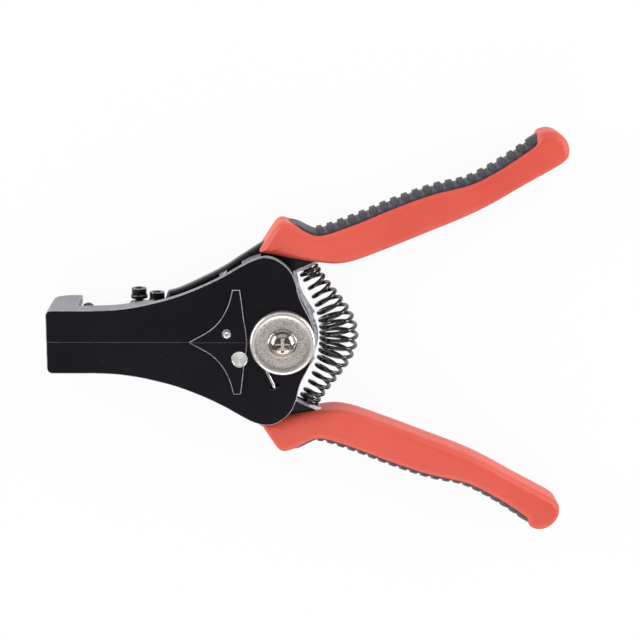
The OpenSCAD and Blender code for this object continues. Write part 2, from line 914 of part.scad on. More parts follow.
// The curls lean with the seats at the ends and lie level halfway
function coil_lean(y) =
    coil_lean_angle * sin(90 * max(-1, min(1, y / coil_lean_reach)));
function coil_side(y) = [cos(coil_lean(y)), sin(coil_lean(y)), 0];
function curl_r(t) =
    coil_end_r + (coil_mid_r - coil_end_r) * pow(cos(90 * (2 * t - 1)), belly_share);
function curl_at(t) =
    let (y = spring_end.y * (2 * t - 1), a = 360 * curl_count * t)
    middle_at(y) + curl_r(t) * (cos(a) * coil_side(y) - sin(a) * [0, 0, 1]);

curl_steps = floor(curl_count * rings_per_curl);
curl_points = [for (i = [0 : curl_steps]) curl_at(i / curl_steps)];
step_out = 0.9 * wire_d;

// The wire's end leaves the last curl, turns and runs straight onto the seat
function wire_end(last, before, side) =
    let (n = [seat_normal.x, side * seat_normal.y, 0],
        seat = [seat_mid.x, side * seat_mid.y, lever_mid],
        go = unit(last - before),
        flat_go = unit(go - (go * n) * n),
        turn = last + step_out * flat_go,
        height = (turn - seat) * n,
        foot = turn - (height - seat_gap) * n)
    [last + step_out / 2 * go - (height - wire_d) * n / 6, foot + wire_d * n, foot];

spring_points = concat(
    reversed(wire_end(curl_points[0], curl_points[1], -1)),
    curl_points,
    wire_end(curl_points[curl_steps], curl_points[curl_steps - 1], 1)
);

// Least distance between curls, measured on the wire's points that are half a curl apart
curl_gap = min([for (i = [0 : curl_steps], j = [i + rings_per_curl / 2 : curl_steps])
    norm(curl_points[i] - curl_points[j])]) - wire_d;
echo(least_gap_between_curls = curl_gap);

// A tube of equal rings along the points, as one closed mesh of triangles. The outs say where
// each ring starts.
module tube_along(points, outs, d, sides) {
    n = len(points);
    rings = [for (i = [0 : n - 1])
        let (way = unit(points[min(i + 1, n - 1)] - points[max(i - 1, 0)]),
            u = unit(outs[i] - (outs[i] * way) * way),
            v = cross(way, u))
        for (k = [0 : sides - 1])
            points[i] + d / 2 * (cos(360 * k / sides) * u + sin(360 * k / sides) * v)];
    walls = [for (i = [0 : n - 2], k = [0 : sides - 1])
        let (a = i * sides + k, b = i * sides + (k + 1) % sides)
        each [[a, a + sides, b], [b, a + sides, b + sides]]];
    ends = [for (k = [1 : sides - 2])
        each [[0, k, k + 1],
            [(n - 1) * sides, (n - 1) * sides + k + 1, (n - 1) * sides + k]]];
    polyhedron(rings, concat(walls, ends));
}

module return_spring() {
    color("#1b1a1d")
        tube_along(spring_points, [for (p = spring_points) p - middle_at(p.y)], wire_d, wire_sides);
}

// Triangles between two chains of points that start side by side, by the shorter diagonal
function zip(p, a, b, i = 0, j = 0) =
    let (a_left = i < len(a) - 1,
        b_left = j < len(b) - 1,
        along_a = a_left && (!b_left || norm(p[a[i + 1]] - p[b[j]]) < norm(p[a[i]] - p[b[j + 1]])))
    !a_left && !b_left ? []
        : along_a ? concat([[a[i], a[i + 1], b[j]]], zip(p, a, b, i + 1, j))
        : concat([[a[i], b[j + 1], b[j]]], zip(p, a, b, i, j + 1));

// A long closed outline drawn out along Z with rounded long edges
module rounded_slab(points, z0, z1, r, steps) {
    n = len(points);
    reach = [for (p = points) norm(p - points[0])];
    far = search(max(reach), reach)[0];
    cap = zip(inset(points, r), [for (k = [0 : far]) k], [for (k = [n - 1 : -1 : far + 1]) k]);
    top = (2 * steps + 1) * n;
    angles = [for (i = [0 : steps]) 90 * i / steps];
    rings = concat(
        [for (a = angles) [r * (1 - sin(a)), z0 + r * (1 - cos(a))]],
        [for (a = reversed(angles)) [r * (1 - sin(a)), z1 - r * (1 - cos(a))]]
    );
    corners = [for (q = rings, p = inset(points, q[0])) [p.x, p.y, q[1]]];
    walls = [for (i = [0 : len(rings) - 2], k = [0 : n - 1])
        let (a = i * n + k, b = i * n + (k + 1) % n)
        each [[a, b, a + n], [b, b + n, a + n]]];
    caps = [for (t = cap) each [reversed(t), [for (k = t) top + k]]];
    polyhedron(corners, concat(walls, caps));
}

grip_steps = 2;
grip_outline = concat(
    [for (p = grip_front_share) in_handle(p)],
    spline([for (p = grip_outer_share) in_handle(p)], grip_steps),
    spline([for (p = grip_tip_share) in_handle(p)], grip_steps),
    spline([for (p = grip_inner_share) in_handle(p)], grip_steps)
);
grip_lowering = 0.5;
grip_z = -grip_t / 2;
round_steps = 4;

// Leans what is drawn about Z = 0 back from the levers' middle plane
module leaning() {
    translate([0, 0, lever_mid - grip_lowering])
        rotate([0, grip_tilt, 0])
            children();
}

module grip() {
    difference() {
        leaning()
            rounded_slab(grip_outline, grip_z, grip_z + grip_t, grip_round, round_steps);
        slab(lever_outline, lever_z - run_gap, lever_top + run_gap);
    }
}

module upper_grip() {
    color("#e2604f")
        grip();
}

module lower_grip() {
    color("#e2604f")
        on_lower_side()
            grip();
}

// The ribbed pad: its inner side lies on the grip's own corners, its outer side carries the
// ribs
pad_edge = 1.2;
inner_steps = 4;
pad_steps = inner_steps * grip_steps;
rib_share = 0.13;
valley_share = 0.27;
smooth_length = 9;
smooth_count = 7;
pad_line = spline([for (p = grip_outer_share) in_handle(p)], pad_steps);
pad_end = len(pad_line) - 1;

// How far along the pad each point of its line lies
pad_lengths = [for (i = 0, far = 0; i <= pad_end;
    far = far + (i < pad_end ? norm(pad_line[i + 1] - pad_line[i]) : 0), i = i + 1) [far, i]];
rib_pitch = (pad_lengths[pad_end][0] - smooth_length) / rib_count;

function pad_normal(i) =
    let (way = unit(pad_line[min(i + 1, len(pad_line) - 1)] - pad_line[max(i - 1, 0)]))
    [-way.y, way.x];
function pad_at(s) =
    let (i = min(floor(s), len(pad_line) - 2), t = s - i)
    pad_line[i] * (1 - t) + pad_line[i + 1] * t;
function pad_out(s, d) =
    let (i = min(floor(s), len(pad_line) - 2), t = s - i)
    pad_at(s) + d * (pad_normal(i) * (1 - t) + pad_normal(i + 1) * t);
function pad_along(far, d) = pad_out(lookup(far, pad_lengths), d);

// The pad's end lies along the shoulder of the grip's tip
pad_shoulder = in_handle(grip_tip_share[0]) - pad_line[pad_end];
pad_end_normal = [-unit(pad_shoulder).y, unit(pad_shoulder).x];
pad_end_share = 0.8;
pad_end_out = pad_line[pad_end] + pad_end_share * pad_shoulder + press_gap * pad_end_normal;

pad_outline = concat(
    [for (i = [0 : smooth_count - 1])
        pad_along(smooth_length * i / smooth_count, pad_t * i / smooth_count + 2 * press_gap)],
    [for (i = [0 : rib_count - 1])
        let (from = smooth_length + (i + valley_share) * rib_pitch,
            to = smooth_length + (i + 1) * rib_pitch,
            ramp = rib_share * rib_pitch)
        each [pad_along(from, pad_t), pad_along(from + ramp, pad_t + rib_rise),
            pad_along(to - ramp, pad_t + rib_rise), if (i < rib_count - 1) pad_along(to, pad_t)]],
    [pad_end_out, pad_line[pad_end] + press_gap * pad_end_normal + press_gap * pad_normal(pad_end)],
    [for (i = [pad_end - inner_steps : -inner_steps : 0]) pad_out(i, press_gap)]
);

module grip_pad() {
    leaning()
        slab(pad_outline, grip_z + pad_edge, grip_z + grip_t - pad_edge);
}

module upper_grip_pad() {
    color("#46444e")
        grip_pad();
}

module lower_grip_pad() {
    color("#46444e")
        on_lower_side()
            grip_pad();
}

upper_front_plate();
lower_front_plate();
upper_lever();
lower_lever();
upper_back_jaw();
lower_back_jaw();
upper_front_blade();
upper_back_blade();
lower_front_gripper();
lower_back_gripper();
upper_hinge_pin();
lower_hinge_pin();
upper_socket_screws();
lower_socket_screws();
upper_lock_nuts();
lower_lock_nuts();
upper_blade_screw();
lower_gripper_screw();
small_pin();
large_pin();
pivot_screw();
pivot_sleeve();
front_spacer();
back_washer();
pivot_nut();
spring_cover();
torsion_spring();
return_spring();
closing_cam();
cam_follower();
upper_spring_peg();
lower_spring_peg();
upper_grip();
lower_grip();
upper_grip_pad();
lower_grip_pad();
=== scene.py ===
import bpy
import bmesh
import bisect
import math
from mathutils import Matrix, Vector
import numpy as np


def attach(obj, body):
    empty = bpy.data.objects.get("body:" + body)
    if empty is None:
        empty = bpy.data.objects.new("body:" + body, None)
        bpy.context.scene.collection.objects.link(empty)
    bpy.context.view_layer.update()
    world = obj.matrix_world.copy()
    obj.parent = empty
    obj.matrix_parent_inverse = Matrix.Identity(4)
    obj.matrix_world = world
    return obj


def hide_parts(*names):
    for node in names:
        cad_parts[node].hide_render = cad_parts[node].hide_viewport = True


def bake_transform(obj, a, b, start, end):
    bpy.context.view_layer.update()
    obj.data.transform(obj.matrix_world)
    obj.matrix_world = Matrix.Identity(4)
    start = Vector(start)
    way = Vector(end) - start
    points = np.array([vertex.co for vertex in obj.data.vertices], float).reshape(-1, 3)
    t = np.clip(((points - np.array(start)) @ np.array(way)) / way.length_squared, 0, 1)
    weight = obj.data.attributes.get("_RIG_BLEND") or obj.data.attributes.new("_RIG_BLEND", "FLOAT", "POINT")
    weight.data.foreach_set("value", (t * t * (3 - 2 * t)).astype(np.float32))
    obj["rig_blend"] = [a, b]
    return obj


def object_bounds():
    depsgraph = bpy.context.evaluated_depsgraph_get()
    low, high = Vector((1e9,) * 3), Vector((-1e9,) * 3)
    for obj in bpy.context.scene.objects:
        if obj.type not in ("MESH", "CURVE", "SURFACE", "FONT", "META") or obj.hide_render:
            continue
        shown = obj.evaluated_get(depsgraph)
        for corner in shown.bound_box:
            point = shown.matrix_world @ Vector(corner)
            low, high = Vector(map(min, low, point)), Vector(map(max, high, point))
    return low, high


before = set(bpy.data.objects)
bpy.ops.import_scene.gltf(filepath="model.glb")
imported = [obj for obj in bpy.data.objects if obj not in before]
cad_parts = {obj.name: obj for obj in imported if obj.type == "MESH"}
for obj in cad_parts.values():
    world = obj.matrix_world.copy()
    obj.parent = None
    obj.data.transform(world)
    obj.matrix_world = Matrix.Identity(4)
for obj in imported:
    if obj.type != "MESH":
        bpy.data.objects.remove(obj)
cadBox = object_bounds()
print("frame loaded")

mm = 0.001
scene = bpy.context.scene
lowerBody = "lower_lever_assy"
upperBody = "upper_lever_assy"
upperJaw = "upper_back_jaw_assy"
lowerJaw = "lower_back_jaw_assy"
# lengths and places shared with the solids, in millimetres
headDepth = 22
leverMid = 11.5
smallPinAt = (-18.9, 3)
largePinAt = (-14.6, -5.8)
legHoleAt = (-2.8, -15.7)

# camera, found from the photograph's outline and the size of the pivot cover
cameraSet = {"place": (0.01261, 0.16883, 0.69294), "tilt": -13.5, "angle": 17.77, "near": 0.01}
camera = bpy.data.objects.new("camera", bpy.data.cameras.new("camera"))
camera.data.angle = math.radians(cameraSet["angle"])
camera.data.clip_start = cameraSet["near"]
camera.location = cameraSet["place"]
camera.rotation_euler = (math.radians(cameraSet["tilt"]), 0, 0)
scene.collection.objects.link(camera)
scene.camera = camera
scene.view_settings.view_transform = "Standard"


# shader helpers; patterns lie in object coordinates
def addNoise(tree, place, scale, detail, stretch=None, turn=0):
    source = place.outputs["Object"]
    if stretch:
        mapping = tree.nodes.new("ShaderNodeMapping")
        mapping.inputs["Scale"].default_value = stretch
        mapping.inputs["Rotation"].default_value = (0, 0, math.radians(turn))
        tree.links.new(source, mapping.inputs["Vector"])
        source = mapping.outputs["Vector"]
    node = tree.nodes.new("ShaderNodeTexNoise")
    node.inputs["Scale"].default_value = scale
    node.inputs["Detail"].default_value = detail
    tree.links.new(source, node.inputs["Vector"])
    return node.outputs["Fac"]


def addRange(tree, source, fromSpan, toSpan=(0, 1)):
    node = tree.nodes.new("ShaderNodeMapRange")
    for name, value in zip(("From Min", "From Max", "To Min", "To Max"), (*fromSpan, *toSpan)):
        node.inputs[name].default_value = value
    tree.links.new(source, node.inputs["Value"])
    return node.outputs["Result"]


def addProduct(tree, first, second):
    node = tree.nodes.new("ShaderNodeMath")
    node.operation = "MULTIPLY"
    tree.links.new(first, node.inputs[0])
    tree.links.new(second, node.inputs[1])
    return node.outputs["Value"]


def addMix(tree, factor, first, second):
    node = tree.nodes.new("ShaderNodeMix")
    node.data_type = "RGBA"
    tree.links.new(factor, node.inputs["Factor"])
    for value, socket in ((first, node.inputs["A"]), (second, node.inputs["B"])):
        if isinstance(value, tuple):
            socket.default_value = (*value, 1)
        else:
            tree.links.new(value, socket)
    return node.outputs["Result"]


def addBump(tree, height, strength, depth, before=None):
    node = tree.nodes.new("ShaderNodeBump")
    node.inputs["Strength"].default_value = strength
    node.inputs["Distance"].default_value = depth
    tree.links.new(height, node.inputs["Height"])
    if before:
        tree.links.new(before, node.inputs["Normal"])
    return node.outputs["Normal"]


def addAttribute(tree, name):
    node = tree.nodes.new("ShaderNodeAttribute")
    node.attribute_name = name
    return node.outputs["Fac"]


# the detail of each noise, and the span of its values that is used
noiseDetail = {"drift": 3, "marks": 2, "mask": 1, "edgeWearAndHighlight": 4, "grain": 4, "bumps": 2}
noiseSpan = {"drift": (0.35, 0.65), "mask": (0.5, 0.6), "grain": (0.3, 0.7)}


def makeMaterial(name, look):
    material = bpy.data.materials.new(name)
    material.use_nodes = True
    tree = material.node_tree
    shader = tree.nodes["Principled BSDF"]
    place = tree.nodes.new("ShaderNodeTexCoord")
    for socket, value in look["shader"].items():
        shader.inputs[socket].default_value = value
    # colour drifts slowly over the piece
    drift = addNoise(tree, place, look["driftScale"], noiseDetail["drift"])
    drift = addRange(tree, drift, noiseSpan["drift"])
    color = addMix(tree, drift, look["dark"], look["light"])
    for mark in look.get("marks", []):
        spots = addNoise(tree, place, mark["scale"], noiseDetail["marks"], mark.get("stretch"),
                         mark.get("turn", 0))
        spots = addRange(tree, spots, mark["span"], (0, mark["amount"]))
        if "mask" in mark:
            mask = addNoise(tree, place, mark["mask"], noiseDetail["mask"])
            spots = addProduct(tree, spots, addRange(tree, mask, noiseSpan["mask"]))
        color = addMix(tree, spots, color, mark["color"])
    # edge colour, partly wear and partly a painted highlight: the attribute is 1 on bevelled edges
    if "edgeWearAndHighlight" in look:
        edgeWearAndHighlightMask = addNoise(tree, place, look["edgeWearAndHighlightScale"], noiseDetail["edgeWearAndHighlight"])
        edgeWearAndHighlightMask = addRange(tree, edgeWearAndHighlightMask, look["edgeWearAndHighlightSpan"])
        edgeWearAndHighlightMask = addProduct(tree, addAttribute(tree, "edge"), edgeWearAndHighlightMask)
        color = addMix(tree, edgeWearAndHighlightMask, color, look["edgeWearAndHighlight"])
    tree.links.new(color, shader.inputs["Base Color"])
    # walls are duller than the ground front faces: the attribute is 1 on walls
    if "wallSheen" in look:
        sheen = addRange(tree, addAttribute(tree, "wall"), (0, 1), (0, look["wallSheen"]))
        tree.links.new(sheen, shader.inputs["Sheen Weight"])
    low, high, scale = look["rough"]
    grain = addNoise(tree, place, scale, noiseDetail["grain"])
    tree.links.new(addRange(tree, grain, noiseSpan["grain"], (low, high)),
                   shader.inputs["Roughness"])
    normal = None
    for scale, strength, depth in look["bumps"]:
        height = addNoise(tree, place, scale, noiseDetail["bumps"])
        normal = addBump(tree, height, strength, depth, normal)
    tree.links.new(normal, shader.inputs["Normal"])
    if "tangent" in look:
        tangent = tree.nodes.new("ShaderNodeTangent")
        tangent.direction_type = "UV_MAP"
        tangent.uv_map = look["tangent"]
        tree.links.new(tangent.outputs["Tangent"], shader.inputs["Tangent"])
    return material


# fine scratches in two directions, and specks
blackMarks = [
    {"scale": 1, "stretch": (260, 2600, 260), "turn": 35, "span": (0.69, 0.73),
     "amount": 0.4, "mask": 90, "color": (0.07, 0.068, 0.08)},
    {"scale": 1, "stretch": (2400, 240, 240), "turn": 20, "span": (0.7, 0.74),
     "amount": 0.35, "mask": 70, "color": (0.06, 0.058, 0.07)},
    {"scale": 2300, "span": (0.77, 0.81), "amount": 0.35, "color": (0.11, 0.11, 0.12)},
]
# rough: lowest, highest and the grain's scale; bumps: scale, strength and depth in metres
# the edge colour stands for wear together with a painted highlight on the edge faces; its noise mask has the
# given scale and span
looks = {
    "blackCasting": {
        "slot": "black_casting",
        "shader": {"Specular IOR Level": 0.16, "Specular Tint": (0.96, 0.89, 1, 1),
                   "Sheen Roughness": 0.35, "Sheen Tint": (0.94, 0.92, 1, 1)}, "wallSheen": 0.8,
        "driftScale": 45, "dark": (0.0045, 0.004, 0.0055), "light": (0.007, 0.0062, 0.0082),
        # the plates' light edge colour is partly wear and partly a painted highlight on their broken edges
        "marks": blackMarks, "edgeWearAndHighlight": (0.4, 0.385, 0.42), "edgeWearAndHighlightScale": 400, "edgeWearAndHighlightSpan": (0.2, 0.5),
        "rough": (0.3, 0.4, 1500), "bumps": [(1400, 0.14, 0.00006), (260, 0.08, 0.0002)],
    },
    "blackLever": {
        "slot": "black_lever",
        "shader": {"Specular IOR Level": 0.4, "Specular Tint": (0.96, 0.9, 1, 1),
                   "Sheen Roughness": 0.35, "Sheen Tint": (0.94, 0.92, 1, 1)}, "wallSheen": 0.5,
        "driftScale": 60, "dark": (0.0055, 0.005, 0.0065), "light": (0.009, 0.0085, 0.0105),
        # the bright lavender edge colour is a painted highlight on the levers' broken edges, together with
        # wear
        "marks": blackMarks, "edgeWearAndHighlight": (0.8, 0.77, 0.84), "edgeWearAndHighlightScale": 400, "edgeWearAndHighlightSpan": (0.2, 0.5),
        "rough": (0.26, 0.38, 1200), "bumps": [(1100, 0.16, 0.00008), (240, 0.08, 0.0002)],
    },
    "blackScrews": {
        "slot": "black_screws",
        "shader": {"Specular IOR Level": 0.9},
        "driftScale": 300, "dark": (0.005, 0.005, 0.006), "light": (0.009, 0.009, 0.011),
        # the screws' light edge colour is a painted highlight on their broken edges, with some wear
        "edgeWearAndHighlight": (0.3, 0.3, 0.32), "edgeWearAndHighlightScale": 900, "edgeWearAndHighlightSpan": (0.45, 0.6),
        "rough": (0.16, 0.26, 2000), "bumps": [(2600, 0.15, 0.00004)],
    },
    "blackSpring": {
        "slot": "black_spring",
        "shader": {"Specular IOR Level": 1, "Specular Tint": (0.96, 0.92, 1, 1)},
        "driftScale": 200, "dark": (0.0035, 0.003, 0.0045), "light": (0.008, 0.0075, 0.0095),
        "rough": (0.1, 0.2, 900), "bumps": [(1800, 0.1, 0.00005)],
    },
    "redGrip": {
        "slot": "red_grip",
        "shader": {"Specular IOR Level": 0.42},
        "driftScale": 38, "dark": (0.7, 0.087, 0.054), "light": (0.765, 0.107, 0.07),
        "marks": [
            {"scale": 1, "stretch": (70, 700, 70), "turn": 30, "span": (0.64, 0.72),
             "amount": 0.2, "mask": 50, "color": (0.85, 0.19, 0.15)},
            {"scale": 1600, "span": (0.74, 0.79), "amount": 0.18, "color": (0.42, 0.05, 0.04)},
        ],
        "rough": (0.36, 0.48, 900), "bumps": [(2200, 0.11, 0.00006), (120, 0.12, 0.0004)],
    },
    "darkPad": {
        "slot": "dark_pad",
        "shader": {"Specular IOR Level": 0.5, "Specular Tint": (0.95, 0.9, 1, 1)},
        "driftScale": 80, "dark": (0.026, 0.022, 0.031), "light": (0.042, 0.037, 0.049),
        "marks": [
            {"scale": 2000, "span": (0.7, 0.76), "amount": 0.3, "color": (0.16, 0.155, 0.17)},
        ],
        "rough": (0.4, 0.54, 1300), "bumps": [(2400, 0.2, 0.00006)],
    },
    "nickel": {
        "slot": "nickel",
        "shader": {"Metallic": 1},
        "driftScale": 180, "dark": (0.6, 0.52, 0.48), "light": (0.69, 0.61, 0.57),
        "marks": [
            {"scale": 1500, "span": (0.48, 0.66), "amount": 0.6, "color": (0.25, 0.225, 0.21)},
            {"scale": 1900, "span": (0.48, 0.62), "amount": 0.75, "color": (0.95, 0.91, 0.87)},
        ],
        # the light edge colour is a painted highlight on the cover's rim and the nut's broken edges
        "edgeWearAndHighlight": (0.93, 0.9, 0.87), "edgeWearAndHighlightScale": 300, "edgeWearAndHighlightSpan": (0.1, 0.3),
        "rough": (0.34, 0.5, 1500), "bumps": [(2300, 0.3, 0.00007), (5200, 0.2, 0.00003)],
    },
    "screwNickel": {
        "slot": "nickel",
        "shader": {"Metallic": 1},
        # a darker copy of the nickel: the dome's dark reflection is painted into its colour
        "driftScale": 300, "dark": (0.3, 0.25, 0.22), "light": (0.4, 0.34, 0.3),
        "marks": [
            {"scale": 2600, "span": (0.62, 0.7), "amount": 0.3, "color": (0.6, 0.55, 0.5)},
        ],
        # the light edge colour is a painted highlight on the recess edges and the rim ring
        "edgeWearAndHighlight": (0.7, 0.65, 0.61), "edgeWearAndHighlightScale": 300, "edgeWearAndHighlightSpan": (0.1, 0.2),
        "rough": (0.16, 0.24, 1800), "bumps": [(1500, 0.06, 0.00005)],
    },
    "brightSteel": {
        "slot": "bright_steel",
        "shader": {"Metallic": 1},
        "driftScale": 400, "dark": (0.6, 0.595, 0.59), "light": (0.76, 0.755, 0.75),
        "marks": [
            {"scale": 1, "stretch": (900, 5200, 900), "span": (0.6, 0.7),
             "amount": 0.35, "color": (0.3, 0.3, 0.3)},
        ],
        "rough": (0.16, 0.3, 2200), "bumps": [(3200, 0.12, 0.00003)],
    },
    # a lighter copy of the bright steel for the large pin: part of the light its head catches is painted
    # into its colour
    "turnedSteel": {
        "slot": "bright_steel",
        "shader": {"Metallic": 1, "Anisotropic": 0.85}, "tangent": "turned",
        "driftScale": 400, "dark": (0.72, 0.71, 0.7), "light": (0.8, 0.79, 0.78),
        "rough": (0.16, 0.22, 1200), "bumps": [(2000, 0.03, 0.00002)],
    },
    # a lighter copy of the bright steel for the small pin: part of the light its dome catches is painted
    # into its colour
    "domedSteel": {
        "slot": "bright_steel",
        "shader": {"Metallic": 1},
        "driftScale": 400, "dark": (0.8, 0.79, 0.79), "light": (0.9, 0.89, 0.89),
        "rough": (0.24, 0.32, 1200), "bumps": [(2000, 0.03, 0.00002)],
    },
    "toolSteel": {
        "slot": "tool_steel",
        "shader": {"Metallic": 1},
        "driftScale": 250, "dark": (0.3, 0.3, 0.31), "light": (0.42, 0.42, 0.43),
        "marks": [
            {"scale": 1, "stretch": (500, 500, 4200), "span": (0.6, 0.7),
             "amount": 0.4, "color": (0.2, 0.2, 0.2)},
        ],
        "rough": (0.26, 0.4, 1800), "bumps": [(2600, 0.2, 0.00003)],
    },
}
# the back jaws' edge colour is dark, with little wear and little painted highlight, and the spring pegs look
# like the screws
looks["blackJaw"] = {**looks["blackLever"], "slot": "black_casting",
                     "edgeWearAndHighlight": (0.06, 0.058, 0.065)}
looks["blackPeg"] = {**looks["blackScrews"], "slot": "tool_steel"}
paints = {name: makeMaterial(name, look) for name, look in looks.items()}
print("materials made")


# mesh helpers; lengths are in millimetres and angles in degrees
mergeGap = 0.001
smoothWeight = 80


# a smooth curve through all the points
def spline(points, steps):
    curve = []
    for i in range(len(points) - 1):
        a, b = points[max(i - 1, 0)], points[i]
        c, d = points[i + 1], points[min(i + 2, len(points) - 1)]
        for k in range(steps):
            t = k / steps
            curve.append((2 * b + (c - a) * t + (2 * a - 5 * b + 4 * c - d) * t ** 2
                          + (3 * b - a - 3 * c + d) * t ** 3) / 2)
    return curve + [points[-1]]


# a closed outline moved inwards
def insetPoints(points, distance):
    result = []
    for i, point in enumerate(points):
        u = (point - points[i - 1]).normalized()
        v = (points[(i + 1) % len(points)] - point).normalized()
        nu, nv = Vector((u.y, -u.x)), Vector((v.y, -v.x))
        result.append(point + (nu + nv) * distance / (1 + nu.dot(nv)))
    return result


def addRings(bm, rings):
    verts = [[bm.verts.new(point * mm) for point in ring] for ring in rings]
    for low, high in zip(verts, verts[1:]):
        for k in range(len(low)):
            n = (k + 1) % len(low)
            bm.faces.new((low[k], low[n], high[n], high[k]))
    return verts


def capRings(bm, verts):
    bm.faces.new(list(reversed(verts[0])))
    bm.faces.new(verts[-1])


# a wire along the points; outs point to the first side of each ring
def addTube(bm, points, outs, radius, sides):
    rings = []
    for i, point in enumerate(points):
        way = (points[min(i + 1, len(points) - 1)] - points[max(i - 1, 0)]).normalized()
        u = (outs[i] - outs[i].dot(way) * way).normalized()
        v = way.cross(u)
        turns = [2 * math.pi * k / sides for k in range(sides)]
        rings.append([point + radius * (math.cos(a) * u + math.sin(a) * v) for a in turns])
    capRings(bm, addRings(bm, rings))


# a profile of radius and height, spun round an upright axis
def addLathe(bm, profile, center, steps):
    verts = [bm.verts.new(Vector((center[0] + r, center[1], z)) * mm) for r, z in profile]
    edges = [bm.edges.new(pair) for pair in zip(verts, verts[1:])]
    if profile[0][0] > 0:
        edges.append(bm.edges.new((verts[-1], verts[0])))
    bmesh.ops.spin(bm, geom=verts + edges, cent=Vector((center[0], center[1], 0)) * mm,
                   axis=(0, 0, 1), angle=2 * math.pi, steps=steps, use_merge=True)
    bmesh.ops.remove_doubles(bm, verts=bm.verts, dist=mergeGap * mm)


# one piece from its mesh: edges past the angle are sharp
def finishPiece(name, bm, paint, body, node, angle, weighted=False):
    bmesh.ops.recalc_face_normals(bm, faces=bm.faces)
    mesh = bpy.data.meshes.new(name)
    bm.to_mesh(mesh)
    bm.free()
    for face in mesh.polygons:
        face.use_smooth = True
    mesh.set_sharp_from_angle(angle=math.radians(angle))
    mesh.materials.append(paints[paint])
    piece = bpy.data.objects.new(name, mesh)
    scene.collection.objects.link(piece)
    if weighted:
        modifier = piece.modifiers.new("weighted", "WEIGHTED_NORMAL")
        modifier.keep_sharp = True
        modifier.weight = smoothWeight
    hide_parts(node)
    if body:
        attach(piece, body)
    return piece


# pieces whose solid has the right shape: a copy of the CAD node with its outer edges broken.
# The levers' edges carry wear and a painted highlight on the spring's side of the x given in the table, and
# stay dark along their arms.
refining = {
    "merge": 0.002, "flat": 1, "fold": 30, "segments": 2, "profile": 0.5, "smooth": 32,
    "seam": 0.15, "holeRoom": 3, "holes": (smallPinAt, largePinAt, legHoleAt),
    "wallRise": 0.7, "wornAndLitPast": {"blackLever": 3}, "dullShare": 0.04,
}


def cadMesh(node):
    bm = bmesh.new()
    bm.from_mesh(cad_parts[node].data)
    bmesh.ops.remove_doubles(bm, verts=bm.verts, dist=refining["merge"] * mm)
    bmesh.ops.dissolve_limit(bm, angle_limit=math.radians(refining["flat"]), verts=bm.verts,
                             edges=bm.edges)
    bmesh.ops.recalc_face_normals(bm, faces=bm.faces)
    return bm


def addBevel(bm, width, keep, paint):
    layer = bm.faces.layers.float.new("edge")
    edges = [edge for edge in bm.edges
             if len(edge.link_faces) == 2 and edge.is_convex
             and edge.calc_face_angle(0) > math.radians(refining["fold"]) and not keep(edge)]
    made = bmesh.ops.bevel(bm, geom=edges, offset=width * mm, offset_type="OFFSET",
                           affect="EDGES", segments=refining["segments"],
                           profile=refining["profile"], material=-1, clamp_overlap=False)
    # edge faces past that x take the full edge colour, wear with a painted highlight; the others take only a
    # small share
    wornAndLitPast = refining["wornAndLitPast"].get(paint, -math.inf)
    for face in made["faces"]:
        wornAndLit = face.calc_center_median().x > wornAndLitPast * mm
        face[layer] = 1 if wornAndLit else refining["dullShare"]


# the seam and the rims of the pin holes and the leg's hole stay sharp
def staysSharp(edge):
    middle = (edge.verts[0].co + edge.verts[1].co) / 2
    return abs(middle.y) < refining["seam"] * mm or any(
        (middle.xy - Vector(hole) * mm).length < refining["holeRoom"] * mm
        for hole in refining["holes"])


def refineNode(node, name, paint, body, width):
    bm = cadMesh(node)
    if width:
        addBevel(bm, width, staysSharp, paint)
    bm.normal_update()
    wall = bm.faces.layers.float.new("wall")
    for face in bm.faces:
        face[wall] = 1 if abs(face.normal.z) < refining["wallRise"] else 0
    finishPiece(name, bm, paint, body, node, refining["smooth"], True)


# node, piece, look, body and width of its broken edges
refined = [
    ("upper_front_plate", "upperPlate", "blackCasting", upperBody, 0.24),
    ("lower_front_plate", "lowerPlate", "blackCasting", lowerBody, 0.24),
    ("upper_lever", "upperLeverPlate", "blackLever", upperBody, 1.1),
    ("lower_lever", "lowerLeverPlate", "blackLever", lowerBody, 1.1),
    ("upper_back_jaw", "upperRockingJaw", "blackJaw", upperJaw, 0.15),
    ("lower_back_jaw", "lowerRockingJaw", "blackJaw", lowerJaw, 0.15),
    ("upper_socket_screws", "upperSocketScrews", "blackScrews", upperJaw, 0.15),
    ("lower_socket_screws", "lowerSocketScrews", "blackScrews", lowerJaw, 0.15),
    ("upper_lock_nuts", "upperLockNuts", "blackScrews", upperJaw, 0.15),
    ("lower_lock_nuts", "lowerLockNuts", "blackScrews", lowerJaw, 0.15),
    ("upper_blade_screw", "upperBladeScrew", "blackScrews", upperJaw, 0),
    ("lower_gripper_screw", "lowerGripperScrew", "blackScrews", lowerJaw, 0),
    ("upper_front_blade", "upperFrontBlade", "toolSteel", upperBody, 0),
    ("upper_back_blade", "upperBackBlade", "toolSteel", upperJaw, 0),
    ("lower_front_gripper", "lowerFrontGripper", "toolSteel", lowerBody, 0),
    ("lower_back_gripper", "lowerBackGripper", "toolSteel", lowerJaw, 0),
    ("closing_cam", "closingCam", "toolSteel", lowerBody, 0),
    ("cam_follower", "camFollower", "brightSteel", upperJaw, 0),
    ("upper_hinge_pin", "upperHingePin", "brightSteel", upperBody, 0.15),
    ("lower_hinge_pin", "lowerHingePin", "brightSteel", lowerBody, 0.15),
    ("pivot_sleeve", "pivotSleeve", "brightSteel", lowerBody, 0.1),
    ("front_spacer", "frontSpacer", "brightSteel", lowerBody, 0.1),
    ("back_washer", "backWasher", "brightSteel", lowerBody, 0.15),
    ("pivot_nut", "pivotNut", "nickel", lowerBody, 0.25),
    ("upper_spring_peg", "upperSpringPeg", "blackPeg", upperBody, 0.3),
    ("lower_spring_peg", "lowerSpringPeg", "blackPeg", lowerBody, 0.3),
]
